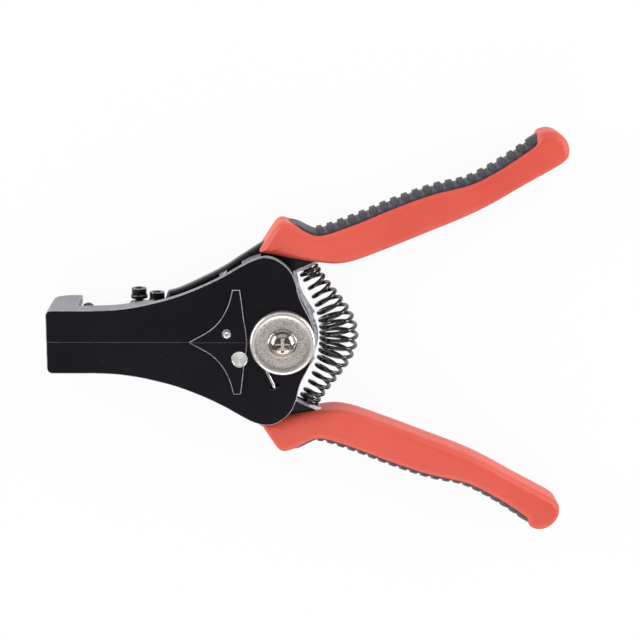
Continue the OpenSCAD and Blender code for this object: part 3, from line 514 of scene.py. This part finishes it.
for row in refined:
    refineNode(*row)
print("CAD nodes refined")


# a piece above the seam and its mirror image below
def makePair(addShape, pieces, paint, smooth, levels=0):
    for name, node, body in pieces:
        bm = bmesh.new()
        addShape(bm)
        if body == lowerBody:
            bmesh.ops.transform(bm, matrix=Matrix.Scale(-1, 4, (0, 1, 0)), verts=bm.verts)
        piece = finishPiece(name, bm, paint, body, node, smooth)
        if levels:
            modifier = piece.modifiers.new("smooth", "SUBSURF")
            modifier.levels = modifier.render_levels = levels


# grips: rings round the handle's outline, leaning back a little from the levers' plane
gripShape = {
    "reach": 96.2, "rise": 70.5, "half": 7.5, "tilt": 3, "level": leverMid - 0.5,
    "roundIn": 3, "roundDown": 2.9, "roundSteps": 4, "creaseDeep": 0.16, "creaseHalf": 0.4,
    "flatShare": 0.55, "steps": 2, "corner": 1.2, "smooth": 60, "levels": 2,
    "front": [(-0.087, 0.424), (-0.038, 0.53), (-0.02, 0.566), (0, 0.576)],
    "outer": [(0.02, 0.567), (0.053, 0.552), (0.09, 0.526), (0.129, 0.511), (0.211, 0.546),
              (0.293, 0.589), (0.375, 0.636), (0.465, 0.682), (0.548, 0.718), (0.64, 0.745),
              (0.715, 0.791), (0.801, 0.862), (0.884, 0.942)],
    "tip": [(0.892, 0.983), (0.924, 1), (0.96, 0.99), (0.993, 0.95), (1.003, 0.898),
            (0.993, 0.856), (0.955, 0.82)],
    "inner": [(0.832, 0.727), (0.738, 0.651), (0.64, 0.585), (0.519, 0.519), (0.437, 0.473),
              (0.311, 0.406), (0.25, 0.377), (0.198, 0.363), (0.14, 0.367), (0, 0.4)],
}


def inHandle(shares):
    return [Vector((x * gripShape["reach"], y * gripShape["rise"])) for x, y in shares]


# a point at height z over the grip's own middle plane, in the part's frame
def lean(x, y, z):
    angle = math.radians(gripShape["tilt"])
    return Vector((x * math.cos(angle) + z * math.sin(angle), y,
                   gripShape["level"] - x * math.sin(angle) + z * math.cos(angle)))


# how far the grip's side has drawn in at a height above its middle plane
def roundIn(z):
    rise = (abs(z) - gripShape["half"] + gripShape["roundDown"]) / gripShape["roundDown"]
    return 0 if rise <= 0 else gripShape["roundIn"] * (1 - math.sqrt(max(0, 1 - rise ** 2)))


def addGrip(bm):
    outline = inHandle(gripShape["front"])
    for part in ("outer", "tip", "inner"):
        outline += spline(inHandle(gripShape[part]), gripShape["steps"])
    # points beside the front corner keep it tight when the grip is smoothed
    before = (outline[-1] - outline[0]).normalized() * gripShape["corner"]
    after = (outline[1] - outline[0]).normalized() * gripShape["corner"]
    outline = [outline[0], outline[0] + after] + outline[1:] + [outline[0] + before]
    half, down, steps = gripShape["half"], gripShape["roundDown"], gripShape["roundSteps"]
    levels = [(gripShape["creaseDeep"], 0), (0, gripShape["creaseHalf"]),
              (0, gripShape["flatShare"] * (half - down))]
    for i in range(steps + 1):
        angle = math.pi / 2 * i / steps
        levels.append((gripShape["roundIn"] * (1 - math.cos(angle)),
                       half - down + down * math.sin(angle)))
    levels = [(d, -z) for d, z in reversed(levels[1:])] + levels
    rings = [[lean(p.x, p.y, z) for p in insetPoints(outline, d)] for d, z in levels]
    verts = addRings(bm, rings)
    # caps run from side to side, with the shorter diagonal first
    flat = insetPoints(outline, gripShape["roundIn"])
    far = max(range(len(flat)), key=lambda i: (flat[i] - flat[0]).length)
    sideA, sideB = list(range(far + 1)), list(range(len(flat) - 1, far, -1))
    i = j = 0
    while i < len(sideA) - 1 or j < len(sideB) - 1:
        moreA, moreB = i < len(sideA) - 1, j < len(sideB) - 1
        if moreA and (not moreB or (flat[sideA[i + 1]] - flat[sideB[j]]).length
                      < (flat[sideA[i]] - flat[sideB[j + 1]]).length):
            corners = (sideA[i], sideA[i + 1], sideB[j])
            i += 1
        else:
            corners = (sideA[i], sideB[j + 1], sideB[j])
            j += 1
        for ring in (verts[0], verts[-1]):
            bm.faces.new([ring[k] for k in corners])


makePair(addGrip, (("upperGripBody", "upper_grip", upperBody),
                   ("lowerGripBody", "lower_grip", lowerBody)),
         "redGrip", gripShape["smooth"], gripShape["levels"])
print("grips made")


# pads: a ribbed strip laid over the grip's outer side, crowned across its width. It starts
# with a plain tongue; then valleys and ribs share the pitch.
padShape = {
    "plain": 9, "plainSteps": 30, "thinShare": 0.05, "tongue": 5.5, "tipGap": 0.05,
    "ribs": 21, "valley": 0.27, "ramp": 0.13, "endShare": 0.15, "base": 0.6, "rise": 1.25,
    "half": 6.3, "sink": 0.45, "crown": 0.045, "floor": 0.25, "shoulder": 0.85,
    "steps": 24, "window": 3, "smooth": 50,
    "ramps": [(0, 0), (0.2, 0.1), (0.5, 0.5), (0.8, 0.9), (1, 0.97), (1.5, 1)],
    "across": [(-1, -1), (-1, 0.3), (-0.985, 0.66), (-0.95, 0.88), (-0.89, 0.98), (-0.8, 1),
               (-0.6, 1), (-0.3, 1), (0, 1), (0.3, 1), (0.6, 1), (0.8, 1), (0.89, 0.98),
               (0.95, 0.88), (0.985, 0.66), (1, 0.3), (1, -1)],
}


def addPad(bm):
    points = spline(inHandle(gripShape["outer"]), padShape["steps"])
    ways = [0]
    for a, b in zip(points, points[1:]):
        ways.append(ways[-1] + (b - a).length)
    plain, count, window = padShape["plain"], padShape["ribs"], padShape["window"]
    pitch = (ways[-1] - plain) / count

    # the point at a way along the grip's side, and the side's normal there
    def lineAt(way):
        i = min(max(bisect.bisect_right(ways, way) - 1, 0), len(points) - 2)
        t = (way - ways[i]) / (ways[i + 1] - ways[i])
        near = points[max(i - window, 0)]
        far = points[min(i + 1 + window, len(points) - 1)]
        along = (far - near).normalized()
        return points[i].lerp(points[i + 1], t), Vector((-along.y, along.x))

    # each ring's way along the pad and height over the grip
    places = []
    for i in range(padShape["plainSteps"]):
        t = i / padShape["plainSteps"]
        thin = padShape["thinShare"] + (1 - padShape["thinShare"]) * t
        places.append((plain * t, padShape["base"] * thin))
    for i in range(count):
        low = plain + (i + padShape["valley"]) * pitch
        high = plain + (i + 1) * pitch
        ramps = [(t * padShape["ramp"] * pitch, lift) for t, lift in padShape["ramps"]]
        ribPlaces = [(low + t, lift) for t, lift in ramps] + [((low + high) / 2, 1)]
        if i < count - 1:
            ribPlaces += [(high - t, lift) for t, lift in reversed(ramps)]
            ribPlaces.append((high + padShape["valley"] * pitch / 2, 0))
        places += [(way, padShape["base"] + padShape["rise"] * lift) for way, lift in ribPlaces]
    top = padShape["base"] + padShape["rise"]
    places.append((plain + (count - padShape["endShare"]) * pitch, top))
    rings = []
    for way, height in places:
        point, normal = lineAt(way)
        # the start is a tongue that widens from a point
        t = min(1, ((point - points[0]).length + padShape["tipGap"]) / padShape["tongue"])
        half = padShape["half"] * math.sqrt(1 - (1 - t) ** 2)
        ring = []
        for share, lift in padShape["across"]:
            z = share * half
            drop = roundIn(z)
            rise = max(height - padShape["crown"] * z ** 2, padShape["floor"] * t - drop)
            h = -drop - padShape["sink"] if lift < 0 else (rise + drop) * lift - drop
            spot = point + normal * h
            ring.append(lean(spot.x, spot.y, z))
        rings.append(ring)
    # the last ring lies along the shoulder of the grip's tip
    shoulder = (inHandle(gripShape["tip"])[0] - points[-1]) * padShape["shoulder"]
    normal = lineAt(ways[-1])[1]
    ring = []
    for share, lift in padShape["across"]:
        z = share * padShape["half"]
        drop = roundIn(z)
        rise = max(top - padShape["crown"] * z ** 2, padShape["floor"] - drop)
        if lift < 0:
            spot = points[-1] - normal * (drop + padShape["sink"])
        else:
            spot = points[-1] + shoulder * rise / top * lift - normal * drop * (1 - lift)
        ring.append(lean(spot.x, spot.y, z))
    rings.append(ring)
    capRings(bm, addRings(bm, rings))


makePair(addPad, (("upperRibbedPad", "upper_grip_pad", upperBody),
                  ("lowerRibbedPad", "lower_grip_pad", lowerBody)),
         "darkPad", padShape["smooth"])
print("pads made")


# return spring between the tangs: its middle line bulges away from the pivot, its curls fan
# out and its end curls lie close together on the seats
springShape = {
    "wire": 1.4, "curls": 18, "endRadius": 3.05, "midRadius": 6.1, "power": 2.5,
    "reach": 19.1, "bend": 10.5, "lean": 29, "leanReach": 16, "seatLean": 25, "seatReach": 4,
    "perCurl": 40, "sides": 14, "closed": 0.5, "closedFrom": 0.7, "closedTo": 1.9, "smooth": 60,
    "inner": (0.049, 0.313), "outer": (0.139, 0.369), "seatShare": 0.42, "gap": 0.06,
}


def makeSpring():
    seatInner, seatOuter = inHandle([springShape["inner"], springShape["outer"]])
    seat = seatInner.lerp(seatOuter, springShape["seatShare"])
    along = (seatOuter - seatInner).normalized()
    normal = Vector((along.y, -along.x))
    end = seat + (springShape["wire"] / 2 + springShape["gap"]) * normal
    bend = springShape["bend"]
    arch = (springShape["reach"] - end.x) / (math.sqrt(1 + (end.y / bend) ** 2) - 1)
    perCurl, endRadius = springShape["perCurl"], springShape["endRadius"]
    count = springShape["curls"] * perCurl

    def middleAt(y):
        bulge = arch * (math.sqrt(1 + (y / bend) ** 2) - 1)
        return Vector((springShape["reach"] - bulge, y, leverMid))

    # the pitch is smaller over the first and last curl
    def pitchAt(i):
        fromEnd = min(i, count - i) / perCurl
        low, high = springShape["closedFrom"], springShape["closedTo"]
        t = min(1, max(0, (fromEnd - low) / (high - low)))
        return springShape["closed"] + (1 - springShape["closed"]) * t * t * (3 - 2 * t)

    total = sum(pitchAt(i + 0.5) for i in range(count))
    up = Vector((0, 0, 1))
    path, outs = [], []
    done = 0
    for i in range(count + 1):
        y = end.y * (2 * done / total - 1)
        done += pitchAt(i + 0.5)
        # the curls lean more and more towards the ends, and near the seats they lie along them
        share = max(-1, min(1, y / springShape["leanReach"]))
        tilt = springShape["lean"] * math.sin(math.pi / 2 * share)
        near = max(0, 1 - (end.y - abs(y)) / springShape["seatReach"])
        tilt += (math.copysign(springShape["seatLean"], y) - tilt) * near
        side = Vector((math.cos(math.radians(tilt)), math.sin(math.radians(tilt)), 0))
        turn = 2 * math.pi * (i - count / 2) / perCurl
        swell = math.cos(math.pi / 2 * y / end.y) ** springShape["power"]
        radius = endRadius + (springShape["midRadius"] - endRadius) * swell
        middle = middleAt(y)
        path.append(middle + radius * (math.cos(turn) * side - math.sin(turn) * up))
        outs.append(path[-1] - middle)
    bm = bmesh.new()
    addTube(bm, path, outs, springShape["wire"] / 2, springShape["sides"])
    piece = finishPiece("returnSpringWire", bm, "blackSpring", None, "return_spring",
                        springShape["smooth"])
    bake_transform(piece, lowerBody, upperBody, Vector((seat.x, -seat.y, leverMid)) * mm,
             Vector((seat.x, seat.y, leverMid)) * mm)


makeSpring()
print("return spring made")


# pivot: a dished cover, whose rolled rim carries a painted highlight from rimFrom outwards
coverShape = {
    "steps": 128, "rimFrom": 8.9, "rimFade": 0.5, "smooth": 50,
    "profile": [(2.52, 23.2), (2.52, 24.2), (5.2, 24.2), (7.9, 24.15), (8.6, 24.16), (9.0, 24.22),
                (9.4, 24.36), (9.7, 24.46), (10.0, 24.49), (10.28, 24.45), (10.53, 24.33),
                (10.76, 24.15), (10.93, 23.92), (11.05, 23.65), (11.1, 23.35), (11.1, 22.32),
                (11.02, 22.22), (10.4, 22.2), (10.3, 22.3), (10.2, 23.05), (9.9, 23.2)],
}


def makeCover():
    bm = bmesh.new()
    addLathe(bm, coverShape["profile"], (0, 0), coverShape["steps"])
    # rim faces from rimFrom outwards fade into the edge colour, a painted highlight
    layer = bm.faces.layers.float.new("edge")
    for face in bm.faces:
        reach = face.calc_center_median().xy.length / mm
        face[layer] = max(0, min(1, (reach - coverShape["rimFrom"]) / coverShape["rimFade"]))
    finishPiece("springCoverDish", bm, "nickel", lowerBody, "spring_cover", coverShape["smooth"])


# domed screw with a cross recess: the CAD node with broken edges from domeFrom upwards, and a thin rim round
# its head; the broken edges and the rim carry a painted highlight
screwShape = {
    "bevel": 0.12, "domeFrom": 25, "steps": 96, "smooth": 32,
    "rim": [(4.5, 24.45), (4.5, 24.78), (4.62, 24.88), (4.8, 24.88), (4.93, 24.78), (4.95, 24.6),
            (4.95, 24.45)],
}


def makeScrew():
    bm = cadMesh("pivot_screw")
    addBevel(bm, screwShape["bevel"],
             lambda edge: edge.verts[0].co.z < screwShape["domeFrom"] * mm, "screwNickel")
    rim = bmesh.new()
    addLathe(rim, screwShape["rim"], (0, 0), screwShape["steps"])
    rimMesh = bpy.data.meshes.new("screwRim")
    rim.to_mesh(rimMesh)
    rim.free()
    count = len(bm.faces)
    bm.from_mesh(rimMesh)
    bpy.data.meshes.remove(rimMesh)
    bm.faces.ensure_lookup_table()
    # the rim ring takes the full edge colour, a painted highlight
    for face in bm.faces[count:]:
        face[bm.faces.layers.float["edge"]] = 1
    finishPiece("pivotScrewHead", bm, "screwNickel", lowerBody, "pivot_screw",
                screwShape["smooth"])


makeCover()
makeScrew()
print("pivot made")


# small spring under the cover: a coil, a straight leg and its end, bent down into the lower plate
legShape = {
    "wire": 1.15, "coil": 9.2, "angle": 205.3, "length": 13, "sweep": 330, "gap": 0.15,
    "deep": 2, "bend": 0.9, "coilSteps": 60, "legSteps": 5, "bendSteps": 6, "sides": 12,
    "smooth": 60,
}


def makeLeg():
    turn = math.radians(legShape["angle"])
    side = Vector((math.cos(turn), math.sin(turn), 0))
    way = Vector((-side.y, side.x, 0))
    top = headDepth + legShape["wire"] / 2 + legShape["gap"]
    up = Vector((0, 0, 1))
    path, outs = [], []
    steps = legShape["coilSteps"]
    for i in range(steps + 1):
        a = math.radians(legShape["angle"] - legShape["sweep"] * (1 - i / steps))
        path.append(Vector((math.cos(a), math.sin(a), 0)) * legShape["coil"] + up * top)
        outs.append(up)
    tip = legShape["coil"] * side + legShape["length"] * way + up * top
    bend = legShape["bend"]
    for i in range(1, legShape["legSteps"]):
        path.append(path[steps].lerp(tip - bend * way, i / legShape["legSteps"]))
        outs.append(up)
    for i in range(legShape["bendSteps"] + 1):
        a = math.pi / 2 * i / legShape["bendSteps"]
        path.append(tip + bend * ((math.sin(a) - 1) * way + (math.cos(a) - 1) * up))
        outs.append((math.cos(a) * up + math.sin(a) * way).normalized())
    path.append(Vector((tip.x, tip.y, headDepth - legShape["deep"] + legShape["gap"])))
    outs.append(way)
    bm = bmesh.new()
    addTube(bm, path, outs, legShape["wire"] / 2, legShape["sides"])
    finishPiece("coverSpringWire", bm, "brightSteel", lowerBody, "torsion_spring",
                legShape["smooth"])


# two pins in the arrowhead, each a profile of radius and height
pinTurning = {"steps": 64, "core": 0.01, "smooth": 40}
pinShapes = [
    {"name": "smallPinHead", "node": "small_pin", "body": upperBody, "at": smallPinAt,
     "paint": "domedSteel",
     "profile": [(0, 10.5), (1.6, 10.5), (1.6, 22.15), (1.57, 22.27), (1.48, 22.36), (1.3, 22.42),
                 (1.05, 22.46), (0.75, 22.48), (0.4, 22.48), (0.3, 22.44), (0.2, 22.36),
                 (0, 22.34)]},
    {"name": "largePinHead", "node": "large_pin", "body": lowerBody, "at": largePinAt,
     "paint": "turnedSteel",
     "profile": [(0, 10.5), (2.8, 10.5), (2.8, 22.68), (2.77, 22.76), (2.7, 22.8), (2.5, 22.8),
                 (2.44, 22.77), (2.38, 22.7), (1.6, 22.7), (0.8, 22.69), (0, 22.68)]},
]


# a UV map whose first axis runs round the centre; within core there is no turn to read
def addTurnedMap(bm, center):
    layer = bm.loops.layers.uv.new("turned")
    middle = Vector(center) * mm
    for face in bm.faces:
        around = face.calc_center_median().xy - middle
        start = math.atan2(around.y, around.x)
        for loop in face.loops:
            spot = loop.vert.co.xy - middle
            away = spot.length > pinTurning["core"] * mm
            turn = math.atan2(spot.y, spot.x) if away else start
            turn = start + math.remainder(turn - start, 2 * math.pi)
            loop[layer].uv = (turn / (2 * math.pi), spot.length / mm)


def makePin(name, node, body, at, paint, profile):
    bm = bmesh.new()
    addLathe(bm, profile, at, pinTurning["steps"])
    addTurnedMap(bm, at)
    finishPiece(name, bm, paint, body, node, pinTurning["smooth"])


makeLeg()
for shape in pinShapes:
    makePin(**shape)
print("pins and cover spring made")


# studio, in metres: a pale floor, which is nearly white to the camera and in reflections, a
# room that is white to the camera and dim in reflections, and soft lamps
studioSet = {
    "floorSize": 6, "floorGap": 0.00002,
    "floorWhite": {"Is Camera Ray": 0.93, "Is Glossy Ray": 0.95},
    "floorShader": {"Base Color": (0.9, 0.9, 0.9, 1), "Roughness": 0.9, "Specular IOR Level": 0.1},
    "ambient": {"Color": (0.95, 0.96, 1, 1), "Strength": 0.45},
    "roomColor": (1, 1, 1, 1), "roomDim": 0.12, "roomWall": (-0.6, -0.72),
}
lamps = [
    {"name": "above", "at": (0, -0.42, 0.92), "size": (0.9, 0.45), "power": 1.1},
    {"name": "topSide", "at": (-0.05, 0.75, 0.5), "size": (1, 0.4), "power": 1.2},
    {"name": "right", "at": (0.85, 0.25, 0.32), "size": (0.8, 0.3), "power": 5.5},
    {"name": "left", "at": (-0.85, 0.25, 0.32), "size": (0.8, 0.3), "power": 5.5},
    {"name": "lowSide", "at": (0, -0.8, 0.4), "size": (1, 0.4), "power": 2.8},
]


def mixShaders(tree, factor, first, second):
    node = tree.nodes.new("ShaderNodeMixShader")
    if isinstance(factor, float):
        node.inputs["Fac"].default_value = factor
    else:
        tree.links.new(factor, node.inputs["Fac"])
    tree.links.new(first, node.inputs[1])
    tree.links.new(second, node.inputs[2])
    return node.outputs["Shader"]


def makeFloor():
    level = cadBox[0][2] - studioSet["floorGap"]
    bpy.ops.mesh.primitive_plane_add(size=studioSet["floorSize"], location=(0, 0, level))
    floor = bpy.context.object
    floor.name = "floor"
    material = bpy.data.materials.new("floor")
    material.use_nodes = True
    tree = material.node_tree
    shader = tree.nodes["Principled BSDF"]
    for socket, value in studioSet["floorShader"].items():
        shader.inputs[socket].default_value = value
    rays = tree.nodes.new("ShaderNodeLightPath")
    white = tree.nodes.new("ShaderNodeEmission")
    surface = shader.outputs["BSDF"]
    for kind, share in studioSet["floorWhite"].items():
        pale = mixShaders(tree, share, shader.outputs["BSDF"], white.outputs["Emission"])
        surface = mixShaders(tree, rays.outputs[kind], surface, pale)
    tree.links.new(surface, tree.nodes["Material Output"].inputs["Surface"])
    floor.data.materials.append(material)


def makeRoom():
    world = bpy.data.worlds.new("studio")
    world.use_nodes = True
    scene.world = world
    tree = world.node_tree
    ambient = tree.nodes["Background"]
    for socket, value in studioSet["ambient"].items():
        ambient.inputs[socket].default_value = value
    # in reflections the room turns white behind the lower handle
    seen = tree.nodes.new("ShaderNodeBackground")
    seen.inputs["Color"].default_value = studioSet["roomColor"]
    ways = tree.nodes.new("ShaderNodeTexCoord")
    parts = tree.nodes.new("ShaderNodeSeparateXYZ")
    tree.links.new(ways.outputs["Generated"], parts.inputs["Vector"])
    wall = addRange(tree, parts.outputs["Y"], studioSet["roomWall"], (studioSet["roomDim"], 1))
    tree.links.new(wall, seen.inputs["Strength"])
    behind = tree.nodes.new("ShaderNodeBackground")
    behind.inputs["Color"].default_value = studioSet["roomColor"]
    rays = tree.nodes.new("ShaderNodeLightPath")
    surface = mixShaders(tree, rays.outputs["Is Glossy Ray"], ambient.outputs["Background"],
                         seen.outputs["Background"])
    surface = mixShaders(tree, rays.outputs["Is Camera Ray"], surface,
                         behind.outputs["Background"])
    tree.links.new(surface, tree.nodes["World Output"].inputs["Surface"])


def addLamp(name, at, size, power):
    light = bpy.data.lights.new(name, "AREA")
    light.shape = "RECTANGLE"
    light.size, light.size_y = size
    light.energy = power
    holder = bpy.data.objects.new(name, light)
    holder.location = at
    holder.rotation_euler = (-Vector(at)).to_track_quat("-Z", "Y").to_euler()
    scene.collection.objects.link(holder)


makeFloor()
makeRoom()
for lamp in lamps:
    addLamp(**lamp)
print("studio made")
